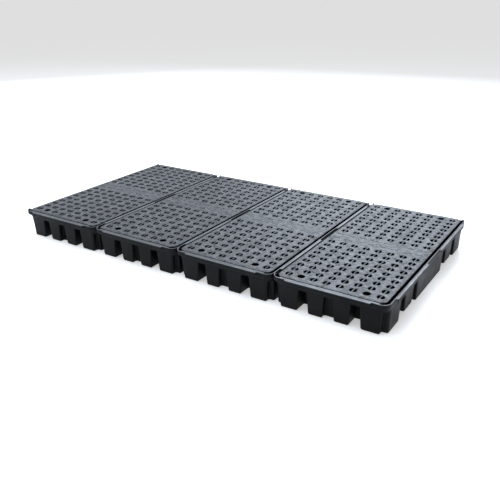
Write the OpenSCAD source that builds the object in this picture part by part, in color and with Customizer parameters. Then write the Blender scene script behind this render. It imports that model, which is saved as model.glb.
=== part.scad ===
// Low spill floor: a row of four polyethylene sump modules, each with its own lift-out deck.
// X runs along the row, Y along each module, Z up. The origin is the middle of the footprint, on the floor.

/* [Row] */
// Distance from one module to the next
pitch = 600; // [598:0.5:604]
// Height from the floor to the top of the deck
total_h = 170; // [165:1:180]

/* [Tray] */
// Half of the rim's outside width
rim_half_w = 299; // [297:0.5:299]
// Half of the rim's outside length
rim_half_l = 640; // [630:1:660]
// Outside radius of the rim's corners
rim_corner_r = 42; // [30:1:60]
// Thickness of the upright rim
rim_t = 6; // [5:0.5:6]
// Thickness of the moulded wall and floor
wall = 5; // [4:0.5:6]
// Height of the plain band below the rim's top
band_h = 24; // [20:1:30]
// Half of the width across the side walls, just below the band
wall_half_w = 294; // [290:1:295]
// Half of the length over the end walls, just below the band
wall_half_l = 619; // [612:1:622]

/* [Slots between the feet] */
// Height of the slots in the walls
slot_top = 119.5; // [105:0.5:124]
// How far the end slots reach in from the end wall
end_slot_depth = 82; // [60:1:95]
// Distance of the end slots from the middle line
end_slot_x = 136; // [130:1:145]
// How far the side slots reach in from the side wall
side_slot_depth = 60; // [40:1:75]
// Distances of the side slots from the middle line
side_slot_y = [239, 416];

/* [Hooks] */
// How far a hook reaches out past the rim
hook_reach = 12.5; // [12.5:0.5:14]
// Height of the hook's lip
hook_lip_h = 20; // [12:1:22]
// Thickness of the hook's lip
hook_lip_t = 3; // [2:0.5:3]

/* [Deck] */
// Half of the deck's width
deck_half_w = 279.5; // [276:0.5:282]
// Half of the deck's length
deck_half_l = 621; // [616:1:624]
// Radius of the deck's corners
deck_corner_r = 34; // [25:1:40]
// Thickness of the deck's top skin
deck_skin = 8; // [6:0.5:10]
// Radius of the drain holes
hole_r = 19.5; // [15:0.5:22]
// Distance between hole columns
hole_dx = 67.5; // [60:0.5:69]
// Distance between hole rows
hole_dy = 60; // [50:0.5:62]
// Width of the bar that crosses each drain hole
bar_w = 6.5; // [4:0.5:9]
// Depth of the blind pockets in the two middle rows
pocket_depth = 5; // [3:0.5:6]

/* [Hidden] */
$fn = 96;
far = 2000;                            // longer than any module, for cutting prisms
over = 1;                              // how far a cutter passes the face it cuts

module_count = 4;
cols = 8;
rows = 20;
lift_cols = [1, 6];                    // counted from 0: the open lifting holes
lift_rows = [0, 19];
blind_rows = [9, 10];

rim_gap = 1;                           // deck top stands this much above the rim
rim_top = total_h - rim_gap;
hook_t = 4.6;                          // plate of the hook, over the neighbour's rim
low_drop = 10;                         // the rim on the left and at the back is lower by this
low_from = -600;                       // the left rim is lower from here to the back corner
low_to = 287;                          // the back rim is lower from the left corner to here
low_rim_top = rim_top - low_drop;
low_rim_w = 12;                        // the cuts for the low rim reach this far in from its outer face
band_bottom = rim_top - band_h;
neck_h = 15;                           // sloping part between the band and the walls
neck_bottom = band_bottom - neck_h;
side_draft = 3;                        // how far the side walls lean in at the floor
end_draft = 4;

hook_side = [100, 550];                // start and end of the two hooks on the right side
hook_front_half = 222;                 // half length of the hook on the front side

end_slot = [21.5, 33];                 // half width at the slot's top and at the floor
recess = [22, 30];                     // shallow recess in the middle of each end
recess_depth = 33.5;
side_slot = [[25, 33], [27, 35]];      // half widths, top and floor, of the two side slots
slot_end_draft = 6;                    // how far a slot's inner end leans
raised_foot_y = [250, 405];            // the foot between the side slots stops short of the floor
raised_foot_z = 17;
corner_notch = [264, 584];             // feet stop here, so each corner is notched

ridge = [[200, 35], [192, 27]];        // half sizes of the middle support, floor and top

support_top = slot_top + wall;         // the slots and the ridge hold the deck at this height
rest_gap = 0.2;
deck_under = support_top + rest_gap;
skirt_bottom = band_bottom - 0.5;
skirt_t = 4;
cross_rib_t = 3.5;
rib_half_l = 598;
cross_bar_w = 8;                       // low bar across the blind pockets
cross_bar_drop = 1.5;

left = -(module_count - 1) / 2 * pitch - rim_half_w;
right = (module_count - 1) / 2 * pitch + rim_half_w + hook_reach;
row_x = -(left + right) / 2;
row_y = hook_reach / 2;

function module_x(i) = (i - (module_count - 1) / 2) * pitch + row_x;
function col_x(c) = (c - (cols - 1) / 2) * hole_dx;
function row_pos(r) = (r - (rows - 1) / 2) * hole_dy;
function listed(value, list) = len([for (v = list) if (v == value) v]) > 0;

// ---- plain shapes ----

module rounded_rect(half_w, half_l, r) {
    square([2 * (half_w - r), 2 * half_l], center = true);
    square([2 * half_w, 2 * (half_l - r)], center = true);
    for (sx = [-1, 1], sy = [-1, 1])
        translate([sx * (half_w - r), sy * (half_l - r)]) circle(r);
}

// A block whose half sizes change evenly from [x, y] at z0 to [x, y] at z1
module frustum(low, high, z0, z1) {
    intersection() {
        rotate([90, 0, 0]) linear_extrude(far, center = true)
            polygon([[-low.x, z0], [low.x, z0], [high.x, z1], [-high.x, z1]]);
        rotate([90, 0, 90]) linear_extrude(far, center = true)
            polygon([[-low.y, z0], [low.y, z0], [high.y, z1], [-high.y, z1]]);
    }
}

module at_each_corner() {
    for (sx = [0, 1], sy = [0, 1]) mirror([sx, 0, 0]) mirror([0, sy, 0]) children();
}

module at_both_ends() {
    for (sy = [0, 1]) mirror([0, sy, 0]) children();
}

// ---- tray ----

// The walls, moved inwards by t: with t = 0 the outside, with t = wall the cavity
module body(t, z0) {
    frustum([wall_half_w - side_draft - t, wall_half_l - end_draft - t],
            [wall_half_w - t, wall_half_l - t], z0, neck_bottom + t);
    intersection() {
        frustum([wall_half_w - t, wall_half_l - t],
                [rim_half_w - t, rim_half_l - t], neck_bottom + t, band_bottom + t);
        linear_extrude(far) rounded_rect(rim_half_w - t, rim_half_l - t, rim_corner_r - t);
    }
}

// One slot, with its mouth at y = 0 and its inner end at y = depth; t makes it fatter
module slot(half, depth, t) {
    z0 = -over;
    z1 = slot_top + t;
    intersection() {
        rotate([90, 0, 0]) linear_extrude(far, center = true)
            polygon([[-half[1] - t, z0], [half[1] + t, z0], [half[0] + t, z1], [-half[0] - t, z1]]);
        rotate([90, 0, 90]) linear_extrude(far, center = true)
            polygon([[-wall, z0], [depth + t, z0], [depth + t - slot_end_draft, z1], [-wall, z1]]);
    }
}

module slots(t) {
    at_both_ends() translate([0, -wall_half_l, 0]) {
        for (sx = [-1, 1]) translate([sx * end_slot_x, 0, 0]) slot(end_slot, end_slot_depth, t);
        slot(recess, recess_depth, t);
    }
    at_each_corner() for (i = [0, 1])
        translate([wall_half_w, side_slot_y[i], 0]) rotate([0, 0, 90])
            slot(side_slot[i], side_slot_depth, t);
}

module corner_notches(t) {
    at_each_corner() translate([corner_notch.x - t, corner_notch.y - t, -over])
        cube([far, far, slot_top + over + t]);
}

module raised_feet(t) {
    at_each_corner() translate([wall_half_w - side_slot_depth, raised_foot_y[0], -over])
        cube([far, raised_foot_y[1] - raised_foot_y[0], raised_foot_z + over + t]);
}

module middle_ridge(t) {
    grow = [t - wall, t - wall];
    frustum(ridge[0] + grow, ridge[1] + grow, -over, slot_top + t);
}

module hollows(t) {
    slots(t);
    corner_notches(t);
    raised_feet(t);
    middle_ridge(t);
}

// The hooks, drawn at the rim's outer face: a plate over the neighbour's rim, with a lip behind it
module hook(length) {
    translate([-over, 0, rim_top - hook_t]) cube([hook_reach + over, length, hook_t]);
    translate([hook_reach - hook_lip_t, 0, rim_top - hook_lip_h])
        cube([hook_lip_t, length, hook_lip_h]);
}

module tray() {
    difference() {
        union() {
            body(0, 0);
            translate([0, 0, band_bottom]) linear_extrude(band_h)
                rounded_rect(rim_half_w, rim_half_l, rim_corner_r);
        }
        difference() {
            body(wall, wall);
            hollows(wall);
        }
        translate([0, 0, band_bottom + wall - over]) linear_extrude(band_h)
            rounded_rect(rim_half_w - rim_t, rim_half_l - rim_t, rim_corner_r - rim_t);
        hollows(0);
        // low rim on the two sides that a neighbour's hooks lie over
        translate([-rim_half_w - over, low_from, low_rim_top])
            cube([low_rim_w + over, rim_half_l - low_from + over, low_drop + over]);
        translate([-rim_half_w - over, rim_half_l - low_rim_w, low_rim_top])
            cube([rim_half_w + low_to + over, low_rim_w + over, low_drop + over]);
    }
    for (sy = [0, 1]) mirror([0, sy, 0])
        translate([rim_half_w, hook_side[0], 0]) hook(hook_side[1] - hook_side[0]);
    translate([-hook_front_half, -rim_half_l, 0]) rotate([0, 0, -90])
        hook(2 * hook_front_half);
}

// ---- deck ----

module deck_outline(t) {
    rounded_rect(deck_half_w - t, deck_half_l - t, deck_corner_r - t);
}

module holes_2d(row_list) {
    for (c = [0 : cols - 1], r = row_list) translate([col_x(c), row_pos(r)]) circle(hole_r);
}

module lifting_holes_2d() {
    for (c = lift_cols, r = lift_rows) translate([col_x(c), row_pos(r)]) circle(hole_r);
}

module column_bars_2d(half_l) {
    for (c = [0 : cols - 1]) translate([col_x(c), 0]) square([bar_w, 2 * half_l], center = true);
}

open_rows = [for (r = [0 : rows - 1]) if (!listed(r, blind_rows)) r];

// Top skin seen from above: round holes crossed by bars, and four open lifting holes
module skin_2d(cut_rows) {
    difference() {
        union() {
            difference() {
                deck_outline(0);
                holes_2d(cut_rows);
            }
            column_bars_2d(deck_half_l - skirt_t);
        }
        lifting_holes_2d();
    }
}

// Ribs below the skin: one under each column of bars, one between each two rows, and the skirt
module ribs_2d() {
    difference() {
        union() {
            column_bars_2d(deck_half_l - skirt_t);
            for (r = [0 : rows - 2]) translate([0, (row_pos(r) + row_pos(r + 1)) / 2])
                square([2 * (deck_half_w - skirt_t), cross_rib_t], center = true);
            difference() {
                deck_outline(0);
                deck_outline(skirt_t);
            }
        }
        lifting_holes_2d();
    }
}

module deck() {
    pocket_z = total_h - pocket_depth;
    skin_z = total_h - deck_skin;
    translate([0, 0, skin_z]) linear_extrude(pocket_z - skin_z) skin_2d(open_rows);
    translate([0, 0, pocket_z]) linear_extrude(pocket_depth) skin_2d([0 : rows - 1]);
    for (r = blind_rows) translate([-(cols - 1) / 2 * hole_dx, row_pos(r) - cross_bar_w / 2, pocket_z])
        cube([(cols - 1) * hole_dx, cross_bar_w, pocket_depth - cross_bar_drop]);
    translate([0, 0, skirt_bottom]) linear_extrude(skin_z - skirt_bottom) ribs_2d();
    translate([0, 0, deck_under]) linear_extrude(skirt_bottom - deck_under) difference() {
        column_bars_2d(rib_half_l);
        lifting_holes_2d();
    }
}

// ---- the eight pieces ----

module place(i) {
    translate([module_x(i - 1), row_y, 0]) children();
}

module tray_1() { color([0.07, 0.07, 0.08]) place(1) tray(); }
module tray_2() { color([0.07, 0.07, 0.08]) place(2) tray(); }
module tray_3() { color([0.07, 0.07, 0.08]) place(3) tray(); }
module tray_4() { color([0.07, 0.07, 0.08]) place(4) tray(); }
module deck_1() { color([0.33, 0.34, 0.37]) place(1) deck(); }
module deck_2() { color([0.33, 0.34, 0.37]) place(2) deck(); }
module deck_3() { color([0.33, 0.34, 0.37]) place(3) deck(); }
module deck_4() { color([0.33, 0.34, 0.37]) place(4) deck(); }

tray_1();
tray_2();
tray_3();
tray_4();
deck_1();
deck_2();
deck_3();
deck_4();
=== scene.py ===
from math import cos, pi, radians, sin
import bmesh
import bpy
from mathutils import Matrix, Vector


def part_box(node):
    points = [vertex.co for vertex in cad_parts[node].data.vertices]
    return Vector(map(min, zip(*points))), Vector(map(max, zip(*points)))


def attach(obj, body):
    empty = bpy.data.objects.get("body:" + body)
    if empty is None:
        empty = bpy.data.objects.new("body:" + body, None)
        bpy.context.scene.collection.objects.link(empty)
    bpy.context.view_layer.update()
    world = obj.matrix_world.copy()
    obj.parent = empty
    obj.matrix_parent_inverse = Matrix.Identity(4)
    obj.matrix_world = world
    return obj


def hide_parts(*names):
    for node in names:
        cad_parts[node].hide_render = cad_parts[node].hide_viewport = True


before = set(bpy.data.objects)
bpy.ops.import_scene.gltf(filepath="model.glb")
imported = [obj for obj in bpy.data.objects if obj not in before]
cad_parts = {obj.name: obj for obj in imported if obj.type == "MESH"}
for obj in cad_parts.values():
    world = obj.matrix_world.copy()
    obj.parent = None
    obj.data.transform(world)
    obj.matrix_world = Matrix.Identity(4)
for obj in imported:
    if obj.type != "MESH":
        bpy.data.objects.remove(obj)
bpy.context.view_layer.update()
moduleNumbers = [1, 2, 3, 4]
tiny = 0.0002          # slack for finding faces and points by their place


# a few helpers for working as in the viewport

def alone(piece):
    bpy.ops.object.select_all(action='DESELECT')
    piece.select_set(True)
    bpy.context.view_layer.objects.active = piece


def editing(piece, kind):
    alone(piece)
    bpy.ops.object.mode_set(mode='EDIT')
    bpy.ops.mesh.select_mode(type=kind)


def objectMode():
    bpy.ops.object.mode_set(mode='OBJECT')


def pick(kind, test):
    # selects the faces, edges or points of the mesh in edit mode that pass the test
    bpy.ops.mesh.select_mode(type=kind)
    bpy.ops.mesh.select_all(action='DESELECT')
    data = bpy.context.edit_object.data
    mesh = bmesh.from_edit_mesh(data)
    items = {'FACE': mesh.faces, 'EDGE': mesh.edges, 'VERT': mesh.verts}[kind]
    count = 0
    for item in items:
        if test(item):
            item.select_set(True)
            count += 1
    mesh.select_flush_mode()
    bmesh.update_edit_mesh(data, loop_triangles=False, destructive=False)
    return count


def middle(item):
    points = item.verts
    return sum((v.co for v in points), Vector()) / len(points)


def slide(x=0.0, y=0.0, z=0.0):
    bpy.ops.transform.translate(value=(x, y, z))


def scaleBy(x, y, z, centre=(0, 0, 0)):
    bpy.ops.transform.resize(value=(x, y, z), center_override=centre)


def extrudeBy(x=0.0, y=0.0, z=0.0):
    bpy.ops.mesh.extrude_region_move(TRANSFORM_OT_translate={"value": (x, y, z)})


def cutAt(point, normal, clear=False):
    bpy.ops.mesh.bisect(plane_co=point, plane_no=normal, clear_outer=clear)


def cutAll(point, normal, clear=False):
    bpy.ops.mesh.select_all(action='SELECT')
    cutAt(point, normal, clear)


def addModifier(piece, kind, **settings):
    alone(piece)
    modifier = piece.modifiers.new(kind.lower(), kind)
    for key, value in settings.items():
        setattr(modifier, key, value)
    bpy.ops.object.modifier_apply(modifier=modifier.name)


def addBox(name, low, high):
    # a box between two corners, its place already in its mesh
    bpy.ops.object.select_all(action='DESELECT')
    bpy.ops.mesh.primitive_cube_add(size=1, location=(Vector(low) + Vector(high)) / 2)
    piece = bpy.context.object
    piece.name = name
    piece.scale = Vector(high) - Vector(low)
    bpy.ops.object.transform_apply(location=True, rotation=True, scale=True)
    return piece


def joined(pieces):
    bpy.ops.object.select_all(action='DESELECT')
    for piece in pieces:
        piece.select_set(True)
    bpy.context.view_layer.objects.active = pieces[0]
    bpy.ops.object.join()
    return pieces[0]


def angleOf(edge):
    return edge.calc_face_angle(0.0)


def onBoundary(edge):
    return len(edge.link_faces) == 1


def faceUp(up=True):
    # an open sheet's normals are made to agree, then turned if its flattest faces look the wrong way
    bpy.ops.mesh.select_all(action='SELECT')
    bpy.ops.mesh.normals_make_consistent(inside=False)
    mesh = bmesh.from_edit_mesh(bpy.context.edit_object.data)
    lean = sum(face.normal.z * face.calc_area() for face in mesh.faces)
    if (lean > 0) != up:
        bpy.ops.mesh.flip_normals()


# sizes that come from the frame

deckLow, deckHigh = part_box("deck_1")
trayLow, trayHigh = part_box("tray_1")
firstCentre = (deckLow + deckHigh) / 2
deckHalf = (deckHigh - deckLow) / 2
deckTop = deckHigh.z
deckUnder = deckLow.z
rimHalf = Vector((firstCentre.x - trayLow.x, trayHigh.y - firstCentre.y))
rimTop = trayHigh.z
hookReach = trayHigh.x - firstCentre.x - rimHalf.x


def moduleCentre(number):
    low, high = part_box("deck_%d" % number)
    return Vector(((low.x + high.x) / 2, (low.y + high.y) / 2, 0))


# camera

cameraPlace = {
    "location": (1.955467, -2.945047, deckTop + 1.298839),
    "rotation": (1.161222, 0.004864, 0.567162),
    "lens": 44.2024,
    "sensor": 36.0,
}


def addCamera():
    bpy.ops.object.camera_add(location=cameraPlace["location"], rotation=cameraPlace["rotation"])
    camera = bpy.context.object
    camera.data.lens = cameraPlace["lens"]
    camera.data.sensor_width = cameraPlace["sensor"]
    bpy.context.scene.camera = camera


addCamera()
print("camera placed")


# deck: one sheet of hole squares, thickened, with a rounded frame round it and ribs below

deckPlan = {
    "columns": 8,
    "rows": 20,
    "squareWidth": 0.0675,
    "squareLength": 0.060,
    "holeRadius": 0.0195,
    "sidesOfSquare": 6,           # parts of each side; the hole gets four times as many points
    "barWidth": 0.0065,
    "skin": 0.008,
    "frameWidth": 0.0095,         # plain border, outside the fine joint line
    "endFrameWidth": 0.010,
    "panelCorner": 0.0245,
    "cornerSteps": 5,
    "outerCorner": 0.034,
    "outerRound": 0.0035,
    "jointChamfer": 0.0007,
    "holeRound": 0.0012,
    "blindRows": (9, 10),
    "pocketDepth": 0.005,
    "crossBarWidth": 0.008,
    "crossBarDrop": 0.0015,
    "liftColumns": (1, 6),
    "liftRows": (0, 19),
    "skirtDrop": 0.0255,          # from the top to the bottom of the skirt
    "skirtThickness": 0.004,
    "ribThickness": 0.0035,
    "ribHalfLength": 0.598,
    "edgeRound": 0.0006,
}


skirtBottom = deckTop - deckPlan["skirtDrop"]


def columnX(column):
    return (column - (deckPlan["columns"] - 1) / 2) * deckPlan["squareWidth"]


def rowY(row):
    return (row - (deckPlan["rows"] - 1) / 2) * deckPlan["squareLength"]


def squareOf(point):
    # which square a point is in, and how far it is from that square's middle
    column = round(point.x / deckPlan["squareWidth"] + (deckPlan["columns"] - 1) / 2)
    row = round(point.y / deckPlan["squareLength"] + (deckPlan["rows"] - 1) / 2)
    return column, row, point.x - columnX(column), point.y - rowY(row)


def inHole(face):
    column, row, dx, dy = squareOf(middle(face))
    return dx * dx + dy * dy < (deckPlan["holeRadius"] * 0.8) ** 2


def besideBar(face):
    column, row, dx, dy = squareOf(middle(face))
    return inHole(face) and abs(dx) > deckPlan["barWidth"] / 2


def isBlind(face):
    return squareOf(middle(face))[1] in deckPlan["blindRows"]


def isLifting(face):
    column, row, dx, dy = squareOf(middle(face))
    return column in deckPlan["liftColumns"] and row in deckPlan["liftRows"]


def holeSquare():
    # a rectangle with a round hole in it, and a bar across the hole
    parts = deckPlan["sidesOfSquare"]
    bpy.ops.object.select_all(action='DESELECT')
    bpy.ops.mesh.primitive_grid_add(x_subdivisions=parts, y_subdivisions=parts, size=1)
    square = bpy.context.object
    square.scale = (deckPlan["squareWidth"], deckPlan["squareLength"], 1)
    bpy.ops.object.transform_apply(location=True, rotation=True, scale=True)
    editing(square, 'VERT')
    pick('VERT', lambda v: not v.is_boundary)
    bpy.ops.mesh.delete(type='VERT')
    bpy.ops.mesh.primitive_circle_add(vertices=4 * parts, radius=deckPlan["holeRadius"],
                                      fill_type='NOTHING')
    bpy.ops.mesh.select_all(action='SELECT')
    bpy.ops.mesh.bridge_edge_loops()
    pick('VERT', lambda v: v.co.length < deckPlan["holeRadius"] + tiny)
    bpy.ops.mesh.edge_face_add()
    for side in (-1, 1):
        pick('FACE', lambda f: middle(f).length < deckPlan["holeRadius"] * 0.8)
        cutAt((side * deckPlan["barWidth"] / 2, 0, 0), (1, 0, 0))
    objectMode()
    return square


def deckPanel():
    panel = holeSquare()
    for count, step in ((deckPlan["columns"], (deckPlan["squareWidth"], 0, 0)),
                        (deckPlan["rows"], (0, deckPlan["squareLength"], 0))):
        addModifier(panel, 'ARRAY', count=count, use_relative_offset=False,
                    use_constant_offset=True, constant_offset_displace=step,
                    use_merge_vertices=True, merge_threshold=tiny)
    editing(panel, 'VERT')
    bpy.ops.mesh.select_all(action='SELECT')
    slide(columnX(0), rowY(0), deckTop)

    # plain strips at both ends, then the corners cut round
    reach = rowY(deckPlan["rows"] - 1) + deckPlan["squareLength"] / 2
    endLine = deckHalf.y - deckPlan["endFrameWidth"]
    sideLine = deckHalf.x - deckPlan["frameWidth"]
    for side in (-1, 1):
        pick('EDGE', lambda e: onBoundary(e) and middle(e).y * side > reach - tiny)
        extrudeBy(y=side * (endLine - reach))
    radius = deckPlan["panelCorner"]
    for sideX in (-1, 1):
        for sideY in (-1, 1):
            centre = Vector((sideX * (sideLine - radius), sideY * (endLine - radius), deckTop))
            for step in range(deckPlan["cornerSteps"]):
                turn = (step + 0.5) / deckPlan["cornerSteps"] * pi / 2
                outwards = Vector((sideX * cos(turn), sideY * sin(turn), 0))
                cutAll(centre + outwards * radius, outwards, clear=True)

    # the two middle rows stay shut: shallow pockets with a lower cross bar
    halfCross = deckPlan["crossBarWidth"] / 2
    for row in deckPlan["blindRows"]:
        for side in (-1, 1):
            pick('FACE', lambda f: isBlind(f) and besideBar(f))
            cutAt((0, rowY(row) + side * halfCross, deckTop), (0, 1, 0))
    faceUp()
    pick('FACE', lambda f: isBlind(f) and besideBar(f))
    extrudeBy(z=-deckPlan["crossBarDrop"])
    pick('FACE', lambda f: isBlind(f) and besideBar(f) and f.normal.z > 0.9
         and abs(squareOf(middle(f))[3]) > halfCross)
    extrudeBy(z=deckPlan["crossBarDrop"] - deckPlan["pocketDepth"])

    # every other hole is open beside its bar, and the four lifting holes have no bar
    pick('FACE', lambda f: besideBar(f) and not isBlind(f))
    bpy.ops.mesh.delete(type='FACE')
    pick('FACE', lambda f: inHole(f) and isLifting(f))
    bpy.ops.mesh.delete(type='FACE')
    faceUp()
    objectMode()
    addModifier(panel, 'SOLIDIFY', thickness=deckPlan["skin"], offset=-1)
    editing(panel, 'EDGE')

    def topEdge(edge):
        return min(v.co.z for v in edge.verts) > deckTop - tiny and angleOf(edge) > radians(50)

    def outerEdge(edge):
        place = middle(edge)
        return abs(place.x) > sideLine - radius * 0.3 or abs(place.y) > endLine - radius * 0.3

    pick('EDGE', lambda e: topEdge(e) and not outerEdge(e))
    bpy.ops.mesh.bevel(offset=deckPlan["holeRound"], segments=2, affect='EDGES')
    pick('EDGE', lambda e: topEdge(e) and outerEdge(e))
    bpy.ops.mesh.bevel(offset=deckPlan["jointChamfer"], segments=1, affect='EDGES')
    objectMode()
    return panel


def deckFrame():
    # the border and the skirt that hangs from it
    bpy.ops.object.select_all(action='DESELECT')
    bpy.ops.mesh.primitive_plane_add(size=2, location=(0, 0, deckTop))
    border = bpy.context.object
    border.scale = (deckHalf.x, deckHalf.y, 1)
    bpy.ops.object.transform_apply(location=True, rotation=True, scale=True)
    editing(border, 'VERT')
    bpy.ops.mesh.select_all(action='SELECT')
    bpy.ops.mesh.bevel(offset=deckPlan["outerCorner"], segments=10, affect='VERTICES')
    bpy.ops.mesh.select_all(action='SELECT')
    bpy.ops.mesh.inset(thickness=deckPlan["frameWidth"], use_even_offset=True)
    bpy.ops.mesh.delete(type='FACE')
    pick('EDGE', lambda e: onBoundary(e)
         and (abs(middle(e).x) > deckHalf.x - 0.003 or abs(middle(e).y) > deckHalf.y - 0.003
              or middle(e).xy.length > (deckHalf.xy - Vector((0.0115, 0.0115))).length))
    extrudeBy(z=-deckPlan["skirtDrop"])
    faceUp()
    pick('EDGE', lambda e: angleOf(e) > radians(60))
    bpy.ops.mesh.bevel(offset=deckPlan["outerRound"], segments=4, affect='EDGES')
    objectMode()
    addModifier(border, 'SOLIDIFY', thickness=deckPlan["skirtThickness"], offset=-1)
    editing(border, 'EDGE')
    pick('EDGE', lambda e: angleOf(e) > radians(60)
         and (middle(e).z > deckTop - tiny or middle(e).z < skirtBottom + tiny))
    bpy.ops.mesh.bevel(offset=deckPlan["jointChamfer"], segments=1, affect='EDGES')
    objectMode()
    return border


def deckRibs():
    ribs = []
    skinUnder = deckTop - deckPlan["skin"] + 0.001     # the ribs run a little into the skin
    barHalf = deckPlan["barWidth"] / 2
    skirtInner = deckHalf - Vector((1, 1, 0)) * deckPlan["skirtThickness"]
    liftY = rowY(deckPlan["liftRows"][1])
    for column in range(deckPlan["columns"]):
        x = columnX(column)
        spans = [(-deckPlan["ribHalfLength"], deckPlan["ribHalfLength"], deckUnder)]
        ends = [(deckPlan["ribHalfLength"] - 0.001, skirtInner.y)]
        if column in deckPlan["liftColumns"]:
            inner = liftY - deckPlan["holeRadius"]
            outer = liftY + deckPlan["holeRadius"]
            spans = [(-inner, inner, deckUnder)]
            ends = [(outer, skirtInner.y)]
        for low, high, bottom in spans:
            ribs.append(addBox("rib", (x - barHalf, low, bottom), (x + barHalf, high, skinUnder)))
        for low, high in ends:
            for side in (-1, 1):
                start, stop = sorted((side * low, side * high))
                ribs.append(addBox("rib", (x - barHalf, start, skirtBottom),
                                   (x + barHalf, stop, skinUnder)))
    crossHalf = deckPlan["ribThickness"] / 2
    for row in range(deckPlan["rows"] - 1):
        y = (rowY(row) + rowY(row + 1)) / 2
        ribs.append(addBox("rib", (-skirtInner.x, y - crossHalf, skirtBottom),
                           (skirtInner.x, y + crossHalf, skinUnder)))
    ribs = joined(ribs)
    editing(ribs, 'EDGE')
    pick('EDGE', lambda e: middle(e).z < skinUnder - tiny)
    bpy.ops.mesh.bevel(offset=deckPlan["edgeRound"], segments=1, affect='EDGES')
    objectMode()
    return ribs


def deckMaster():
    master = joined([deckPanel(), deckFrame(), deckRibs()])
    master.name = "deckMaster"
    return master


# tray: one outside sheet, drawn as a quarter and mirrored, then given its wall thickness

trayPlan = {
    "ceilingDrop": 0.0495,          # from the rim's top down to the top of the slots between the feet
    "wallHalf": Vector((0.294, 0.619)),
    "wallFootHalf": Vector((0.291, 0.615)),
    "wallCorner": 0.0405,
    "neckDrop": 0.039,
    "bandDrop": 0.024,
    "wall": 0.0052,
    "draft": 0.0088,                # how far the feet's sides lean in by the floor
    "endSlot": (0.1145, 0.1575, 0.537),      # from x, to x, inner end y
    "recessHalf": 0.022,
    "sideSlots": ((0.214, 0.264), (0.389, 0.443)),
    "sideSlotEnd": 0.234,
    "cornerSteps": 8,               # the notch in each corner starts two steps round from either wall
    "ridge": Vector((0.187, 0.022)),
    "raisedFoot": 0.017,
    "slopeStart": 0.212,
    "footRound": 0.0155,
    "rimRound": 0.0016,
    "lowRimDrop": 0.010,
    "lowRimInset": 0.012,           # how far in from the rim's outer face the cuts for its low parts go
    "lowRimFrom": -0.600,           # the left rim is lower from here to the back
}


ceiling = rimTop - trayPlan["ceilingDrop"]
neckBottom = rimTop - trayPlan["neckDrop"]
bandBottom = rimTop - trayPlan["bandDrop"]


def notchCorner():
    turn = 2 * (pi / 2) / trayPlan["cornerSteps"]
    return trayPlan["wallHalf"] - Vector((1, 1)) * trayPlan["wallCorner"] * (1 - sin(turn))


def inSlot(point):
    x, y = abs(point.x), abs(point.y)
    low, high, end = trayPlan["endSlot"]
    if low < x < high and y > end:
        return True
    if x < trayPlan["recessHalf"] and y > notchCorner().y:
        return True
    if x > trayPlan["sideSlotEnd"]:
        for low, high in trayPlan["sideSlots"]:
            if low < y < high:
                return True
    return x > notchCorner().x and y > notchCorner().y


def inRidge(point):
    return abs(point.x) < trayPlan["ridge"].x and abs(point.y) < trayPlan["ridge"].y


def traySheet():
    wallHalf = trayPlan["wallHalf"]
    bpy.ops.object.select_all(action='DESELECT')
    bpy.ops.mesh.primitive_plane_add(size=1, location=(wallHalf.x / 2, wallHalf.y / 2, ceiling))
    sheet = bpy.context.object
    sheet.scale = (wallHalf.x, wallHalf.y, 1)
    bpy.ops.object.transform_apply(location=True, rotation=True, scale=True)
    editing(sheet, 'VERT')
    pick('VERT', lambda v: v.co.x > tiny and v.co.y > tiny)
    bpy.ops.mesh.bevel(offset=trayPlan["wallCorner"], segments=trayPlan["cornerSteps"],
                       affect='VERTICES')
    linesX = [trayPlan["recessHalf"], trayPlan["endSlot"][0], trayPlan["endSlot"][1],
              trayPlan["ridge"].x, trayPlan["slopeStart"], trayPlan["sideSlotEnd"], notchCorner().x]
    linesY = [trayPlan["ridge"].y, *trayPlan["sideSlots"][0], *trayPlan["sideSlots"][1],
              trayPlan["endSlot"][2], notchCorner().y]
    for x in linesX:
        cutAll((x, 0, 0), (1, 0, 0))
    for y in linesY:
        cutAll((0, y, 0), (0, 1, 0))
    objectMode()
    addModifier(sheet, 'MIRROR', use_axis=(True, True, False), merge_threshold=tiny)

    # the feet: everything that is neither slot nor support goes down to the floor
    editing(sheet, 'FACE')
    faceUp()
    pick('FACE', lambda f: not inSlot(middle(f)) and not inRidge(middle(f)))
    bpy.ops.mesh.inset(thickness=trayPlan["draft"], depth=-ceiling, use_even_offset=True,
                       use_boundary=True)
    footHalf = trayPlan["wallFootHalf"]
    leaning = wallHalf - Vector((1, 1)) * trayPlan["draft"]
    pick('VERT', lambda v: v.co.z < tiny and abs(v.co.x) > leaning.x - tiny)
    scaleBy(footHalf.x / leaning.x, 1, 1)
    pick('VERT', lambda v: v.co.z < tiny and abs(v.co.y) > leaning.y - tiny)
    scaleBy(1, footHalf.y / leaning.y, 1)
    pick('VERT', lambda v: v.co.z < tiny)
    bpy.ops.mesh.remove_doubles(threshold=0.0015)
    footFrom = trayPlan["sideSlots"][0][1]
    footTo = trayPlan["sideSlots"][1][0]
    pick('VERT', lambda v: v.co.z < tiny and abs(v.co.x) > trayPlan["slopeStart"] + tiny
         and footFrom < abs(v.co.y) < footTo)
    slide(z=trayPlan["raisedFoot"])

    # walls above the slots, the sloping neck and the plain band
    pick('EDGE', onBoundary)
    extrudeBy(z=neckBottom - ceiling)
    extrudeBy(z=bandBottom - neckBottom)
    scaleBy(rimHalf.x / wallHalf.x, rimHalf.y / wallHalf.y, 1)
    extrudeBy(z=rimTop - bandBottom)
    faceUp(False)
    bpy.ops.mesh.select_all(action='SELECT')
    bpy.ops.mesh.dissolve_limited(angle_limit=radians(1))
    objectMode()
    return sheet


def weighEdges(amount, test):
    pick('EDGE', test)
    bpy.ops.transform.edge_bevelweight(value=amount)


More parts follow.
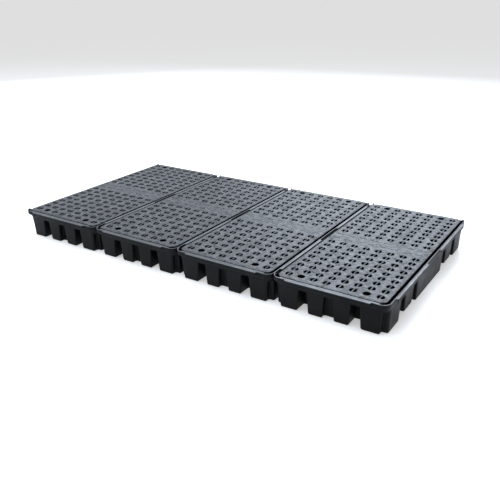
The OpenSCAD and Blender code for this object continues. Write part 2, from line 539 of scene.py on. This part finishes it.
def roundTray(sheet):
    # the feet have big soft edges at the floor and smaller ones higher up
    editing(sheet, 'EDGE')

    def heights(edge):
        return sorted(v.co.z for v in edge.verts)

    def sharp(edge):
        return angleOf(edge) > radians(25)

    def underneath(edge):
        place = middle(edge)
        return abs(place.x) < trayPlan["sideSlotEnd"] + tiny and abs(place.y) < trayPlan["endSlot"][2]

    weighEdges(1.0, lambda e: sharp(e) and heights(e)[1] < 0.02 and not underneath(e))
    weighEdges(0.4, lambda e: sharp(e) and heights(e)[1] < 0.02 and underneath(e))
    weighEdges(0.55, lambda e: sharp(e) and heights(e)[0] < 0.02 and heights(e)[1] > ceiling - tiny)
    weighEdges(0.35, lambda e: sharp(e) and heights(e)[0] > ceiling - tiny
               and heights(e)[1] < ceiling + tiny)
    weighEdges(0.25, lambda e: heights(e)[0] > ceiling + tiny and heights(e)[1] < rimTop - tiny
               and angleOf(e) > radians(12) and heights(e)[1] - heights(e)[0] < tiny)
    objectMode()
    addModifier(sheet, 'BEVEL', limit_method='WEIGHT', width=trayPlan["footRound"], segments=4,
                use_clamp_overlap=True, miter_outer='MITER_ARC')

    # the many-sided faces, such as the floor's, are split so that their inner copies stay clear of the slots
    editing(sheet, 'FACE')
    pick('FACE', lambda f: len(f.verts) > 4)
    bpy.ops.mesh.quads_convert_to_tris(ngon_method='BEAUTY')
    objectMode()


def trayShell():
    shell = traySheet()
    roundTray(shell)
    addModifier(shell, 'SOLIDIFY', thickness=trayPlan["wall"], offset=-1, use_quality_normals=True)
    editing(shell, 'EDGE')
    pick('VERT', lambda v: v.co.z < 0)
    scaleBy(1, 1, 0)
    pick('EDGE', lambda e: angleOf(e) > radians(50) and min(v.co.z for v in e.verts) > rimTop - tiny)
    bpy.ops.mesh.bevel(offset=trayPlan["rimRound"], segments=3, affect='EDGES')
    objectMode()

    # the rim is lower on the two sides that a neighbour's hooks lie over
    inner = rimHalf - Vector((1, 1)) * trayPlan["lowRimInset"]
    outer = rimHalf + Vector((1, 1)) * trayPlan["lowRimInset"]
    cutBottom = rimTop - trayPlan["lowRimDrop"]
    cutTop = rimTop + trayPlan["lowRimDrop"]
    cutters = [
        addBox("cutter", (-outer.x, trayPlan["lowRimFrom"], cutBottom), (-inner.x, outer.y, cutTop)),
        addBox("cutter", (-inner.x - tiny, inner.y, cutBottom), (inner.x, outer.y, cutTop)),
    ]
    cutter = joined(cutters)
    addModifier(shell, 'BOOLEAN', operation='DIFFERENCE', solver='EXACT', object=cutter)
    bpy.data.objects.remove(cutter)
    return shell


# hooks that tie the row together

hookPlan = {
    "plate": 0.0046,
    "lipHeight": 0.020,
    "lipThickness": 0.003,
    "sideSpan": (0.100, 0.550),
    "frontHalf": 0.222,
    "endSlant": 0.004,
    "topRound": 0.0015,
    "ledgeHalf": 0.256,
    "ledgeGap": 0.0055,
    "ledgeDrop": 0.0004,
    "root": 0.0002,                 # the plate starts this far outside the rim, which shows as a fine line
}


def hookPiece(length):
    # drawn along Y from 0, at x = 0, with its lip outwards
    hook = addBox("hook", (0, 0, rimTop - hookPlan["plate"]), (hookReach, length, rimTop))
    lipStart = hookReach - hookPlan["lipThickness"]
    editing(hook, 'FACE')
    cutAll((lipStart, 0, 0), (1, 0, 0))
    pick('FACE', lambda f: f.normal.z < -0.9 and middle(f).x > lipStart)
    extrudeBy(z=hookPlan["plate"] - hookPlan["lipHeight"])
    pick('VERT', lambda v: v.co.x > lipStart - tiny)
    scaleBy(1, (length - 2 * hookPlan["endSlant"]) / length, 1, (0, length / 2, 0))
    pick('EDGE', lambda e: angleOf(e) > radians(40) and middle(e).z > rimTop - tiny)
    bpy.ops.mesh.bevel(offset=hookPlan["topRound"], segments=3, affect='EDGES')
    pick('EDGE', lambda e: angleOf(e) > radians(60))
    bpy.ops.mesh.bevel(offset=hookPlan["topRound"] / 3, segments=1, affect='EDGES')
    objectMode()
    return hook


def trayHooks():
    start, stop = hookPlan["sideSpan"]
    hooks = []
    for y in (start, -stop):
        hook = hookPiece(stop - start)
        editing(hook, 'VERT')
        bpy.ops.mesh.select_all(action='SELECT')
        slide(rimHalf.x, y, 0)
        objectMode()
        hooks.append(hook)
    front = hookPiece(2 * hookPlan["frontHalf"])
    editing(front, 'VERT')
    bpy.ops.mesh.select_all(action='SELECT')
    bpy.ops.transform.rotate(value=pi / 2, orient_axis='Z', center_override=(0, 0, 0))
    objectMode()
    corner = [min(v.co[i] for v in front.data.vertices) for i in range(2)]
    far = [max(v.co[i] for v in front.data.vertices) for i in range(2)]
    editing(front, 'VERT')
    bpy.ops.mesh.select_all(action='SELECT')
    slide(-(corner[0] + far[0]) / 2, -rimHalf.y - far[1], 0)
    objectMode()
    hooks.append(front)
    return hooks


def frontLedge():
    # the front rim is wider inwards, up to a narrow gap before the deck
    ledge = addBox("ledge", (-hookPlan["ledgeHalf"], -rimHalf.y + trayPlan["wall"], rimTop - hookPlan["plate"]),
                   (hookPlan["ledgeHalf"], -deckHalf.y - hookPlan["ledgeGap"], rimTop - hookPlan["ledgeDrop"]))
    editing(ledge, 'EDGE')
    pick('EDGE', lambda e: angleOf(e) > radians(60))
    bpy.ops.mesh.bevel(offset=hookPlan["topRound"] / 2, segments=2, affect='EDGES')
    objectMode()
    return ledge


def trayMaster():
    master = joined([trayShell(), frontLedge()] + trayHooks())
    master.name = "trayMaster"
    return master


# materials

def startMaterial(name):
    material = bpy.data.materials.new(name)
    material.use_nodes = True
    return material


def addNode(material, kind, inputs=(), **settings):
    node = material.node_tree.nodes.new(kind)
    for key, value in settings.items():
        setattr(node, key, value)
    for key, value in dict(inputs).items():
        if isinstance(value, bpy.types.NodeSocket):
            material.node_tree.links.new(value, node.inputs[key])
        else:
            node.inputs[key].default_value = value
    return node


def ramp(material, factor, stops):
    node = addNode(material, 'ShaderNodeValToRGB', {"Fac": factor})
    elements = node.color_ramp.elements
    while len(elements) < len(stops):
        elements.new(0.5)
    for element, (place, value) in zip(elements, stops):
        element.position = place
        element.color = (*value, 1) if isinstance(value, tuple) else (value, value, value, 1)
    return node.outputs["Color"]


def noise(material, vector, scale, detail=4.0, roughness=0.55):
    return addNode(material, 'ShaderNodeTexNoise', {
        "Vector": vector, "Scale": scale, "Detail": detail, "Roughness": roughness}).outputs["Fac"]


def mixed(material, factor, first, second, blend='MIX'):
    node = addNode(material, 'ShaderNodeMix', data_type='RGBA', blend_type=blend)
    links = material.node_tree.links
    for index, value in ((0, factor), (6, first), (7, second)):
        if isinstance(value, bpy.types.NodeSocket):
            links.new(value, node.inputs[index])
        elif isinstance(value, tuple):
            node.inputs[index].default_value = (*value, 1)
        else:
            node.inputs[index].default_value = value
    return node.outputs[2]


trayLook = {
    "black": (0.0030, 0.0031, 0.0036),
    "worn": (0.0075, 0.0078, 0.0088),
    "dust": (0.022, 0.0222, 0.023),
    "roughness": (0.40, 0.56),
    "specular": 0.09,
    # the rim's top is painted lighter, with a higher specular level: a painted sheen
    "rimPaintedSheen": (0.030, 0.0315, 0.036),
    "rimSpecular": 0.75,
    "rimDepth": (0.0010, 0.0035),        # below the rim's top: where its painted sheen ends
}

deckLook = {
    "dark": (0.010, 0.0108, 0.0130),
    "light": (0.021, 0.0222, 0.0262),
    "worn": (0.095, 0.099, 0.112),
    # near black painted in the holes, pockets and under the deck: painted shade
    "inside": (0.0012, 0.0013, 0.0015),
    "holeShadeDepth": (0.0018, 0.0050),     # below the top: where the painted shade of the holes starts and is full
    "roughness": (0.38, 0.52),
    "specular": (0.10, 1.0),        # in the dull and the shiny streaks of the grain
    "streak": (0.45, 1.0, 0.45),    # the grain is longer along the row
}


def trayPlastic():
    material = startMaterial("trayPlastic")
    shader = material.node_tree.nodes["Principled BSDF"]
    links = material.node_tree.links
    place = addNode(material, 'ShaderNodeTexCoord').outputs["Object"]
    clouds = noise(material, place, 3.5, 5.0)
    colour = mixed(material, ramp(material, clouds, ((0.35, 0.0), (0.7, 1.0))),
                   trayLook["black"], trayLook["worn"])
    scuffs = noise(material, place, 45.0, 6.0, 0.7)
    dust = mixed(material, ramp(material, scuffs, ((0.62, 0.0), (0.78, 0.35))),
                 colour, trayLook["dust"])
    height = addNode(material, 'ShaderNodeSeparateXYZ', {"Vector": place}).outputs["Z"]
    starts, ends = trayLook["rimDepth"]
    onRim = addNode(material, 'ShaderNodeMapRange', {
        "Value": height, "From Min": rimTop - ends, "From Max": rimTop - starts}).outputs["Result"]
    # painted sheen: the top few millimetres of the rim, hooks and ledge are painted lighter and shinier than
    # the rest of the black tray
    links.new(mixed(material, onRim, dust, trayLook["rimPaintedSheen"]), shader.inputs["Base Color"])
    sheen = addNode(material, 'ShaderNodeMapRange', {
        "Value": onRim, "To Min": trayLook["specular"], "To Max": trayLook["rimSpecular"]})
    links.new(sheen.outputs["Result"], shader.inputs["Specular IOR Level"])
    links.new(ramp(material, noise(material, place, 12.0), (
        (0.3, trayLook["roughness"][0]), (0.7, trayLook["roughness"][1]))), shader.inputs["Roughness"])
    grain = noise(material, place, 900.0, 2.0)
    waves = noise(material, place, 14.0, 2.0)
    low = addNode(material, 'ShaderNodeBump', {"Height": waves, "Strength": 0.35, "Distance": 0.004})
    fine = addNode(material, 'ShaderNodeBump', {
        "Height": grain, "Strength": 0.25, "Distance": 0.0004, "Normal": low.outputs["Normal"]})
    links.new(fine.outputs["Normal"], shader.inputs["Normal"])
    return material


def deckPlastic():
    material = startMaterial("deckPlastic")
    shader = material.node_tree.nodes["Principled BSDF"]
    links = material.node_tree.links
    place = addNode(material, 'ShaderNodeTexCoord').outputs["Object"]
    clouds = noise(material, place, 4.0, 6.0, 0.6)
    colour = mixed(material, ramp(material, clouds, ((0.3, 0.0), (0.72, 1.0))),
                   deckLook["dark"], deckLook["light"])
    scuffs = noise(material, place, 70.0, 8.0, 0.75)
    worn = mixed(material, ramp(material, scuffs, ((0.55, 0.0), (0.75, 0.6))), colour, deckLook["worn"])
    # painted shade: below the top the colour goes to near black with depth, on the hole walls, the pocket
    # floors and everything under the deck
    height = addNode(material, 'ShaderNodeSeparateXYZ', {"Vector": place}).outputs["Z"]
    starts, full = deckLook["holeShadeDepth"]
    inside = addNode(material, 'ShaderNodeMapRange', {
        "Value": height, "From Min": deckTop - starts, "From Max": deckTop - full}).outputs["Result"]
    links.new(mixed(material, inside, worn, deckLook["inside"]), shader.inputs["Base Color"])
    links.new(ramp(material, noise(material, place, 18.0), (
        (0.3, deckLook["roughness"][0]), (0.7, deckLook["roughness"][1]))), shader.inputs["Roughness"])
    stretched = addNode(material, 'ShaderNodeMapping', {
        "Vector": place, "Scale": deckLook["streak"]}).outputs["Vector"]
    dull, shiny = deckLook["specular"]
    streaks = ramp(material, noise(material, stretched, 110.0, 3.0, 0.7), ((0.38, dull), (0.60, shiny)))
    # the painted shade also takes the specular away below the top
    links.new(mixed(material, inside, streaks, (0.0, 0.0, 0.0)), shader.inputs["Specular IOR Level"])
    grain = noise(material, stretched, 170.0, 3.0, 0.65)
    fine = addNode(material, 'ShaderNodeBump', {"Height": grain, "Strength": 1.0, "Distance": 0.0032})
    links.new(fine.outputs["Normal"], shader.inputs["Normal"])
    return material


# the four modules

def finishShape(piece, material):
    alone(piece)
    bpy.ops.object.shade_smooth_by_angle(angle=radians(38))

    # level faces stay flat, so that long triangles don't show in their shading
    editing(piece, 'FACE')
    pick('FACE', lambda f: abs(f.normal.z) > 0.9999)
    bpy.ops.mesh.faces_shade_flat()
    objectMode()
    addModifier(piece, 'WEIGHTED_NORMAL', keep_sharp=True)
    piece.data.materials.clear()
    piece.data.materials.append(material)


def placeCopies(master, kind):
    for number in moduleNumbers:
        alone(master)
        bpy.ops.object.duplicate(linked=False)
        piece = bpy.context.object
        body = "%s_%d" % (kind, number)
        piece.name = "%sMoulding_%d" % (kind, number)
        piece.data.name = piece.name
        piece.location = moduleCentre(number)
        bpy.ops.object.transform_apply(location=True, rotation=True, scale=True)
        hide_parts(body)
        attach(piece, body)
    bpy.data.objects.remove(master)


tray = trayMaster()
print("tray shaped:", len(tray.data.polygons), "faces")
finishShape(tray, trayPlastic())
placeCopies(tray, "tray")
deck = deckMaster()
print("deck shaped:", len(deck.data.polygons), "faces")
finishShape(deck, deckPlastic())
placeCopies(deck, "deck")
print("four modules placed")


# floor and light

studio = {
    "floorColour": (0.95, 0.95, 0.955),
    "floorGlow": 0.45,
    "skyStrength": 0.30,
    "lightColour": (0.80, 0.89, 1.0),
    "lights": (
        # name, place, size, watts
        ("behind", (-0.9, 4.9, 4.0), 3.6, 420),
        ("behindLeft", (-5.9, 3.8, 2.8), 4.0, 90),
        ("overhead", (-0.4, -0.8, 4.2), 4.6, 240),
    ),
}


def addStudio():
    bpy.ops.object.select_all(action='DESELECT')
    bpy.ops.mesh.primitive_plane_add(size=400, location=(0, 0, 0))
    floor = bpy.context.object
    floor.name = "floor"
    material = startMaterial("floorPaint")
    shader = material.node_tree.nodes["Principled BSDF"]
    shader.inputs["Base Color"].default_value = (*studio["floorColour"], 1)
    shader.inputs["Emission Color"].default_value = (1, 1, 1, 1)
    shader.inputs["Emission Strength"].default_value = studio["floorGlow"]
    shader.inputs["Roughness"].default_value = 0.9
    shader.inputs["Specular IOR Level"].default_value = 0.1
    floor.data.materials.append(material)
    for name, place, size, watts in studio["lights"]:
        bpy.ops.object.light_add(type='AREA', location=place)
        light = bpy.context.object
        light.name = name
        light.data.size = size
        light.data.energy = watts
        light.data.color = studio["lightColour"]
        light.rotation_euler = (-Vector(place)).to_track_quat('-Z', 'Y').to_euler()
    world = bpy.data.worlds.new("studioWorld")
    bpy.context.scene.world = world
    world.use_nodes = True
    sky = world.node_tree.nodes["Background"]
    sky.inputs["Color"].default_value = (1, 1, 1, 1)
    sky.inputs["Strength"].default_value = studio["skyStrength"]
    seen = addNode(world, 'ShaderNodeBackground')
    seen.inputs["Color"].default_value = (1, 1, 1, 1)
    choose = addNode(world, 'ShaderNodeMixShader', {
        0: addNode(world, 'ShaderNodeLightPath').outputs["Is Camera Ray"],
        1: sky.outputs[0], 2: seen.outputs[0]})
    world.node_tree.links.new(choose.outputs[0], world.node_tree.nodes["World Output"].inputs[0])
    bpy.context.scene.view_settings.view_transform = 'Standard'


addStudio()
print("studio set")
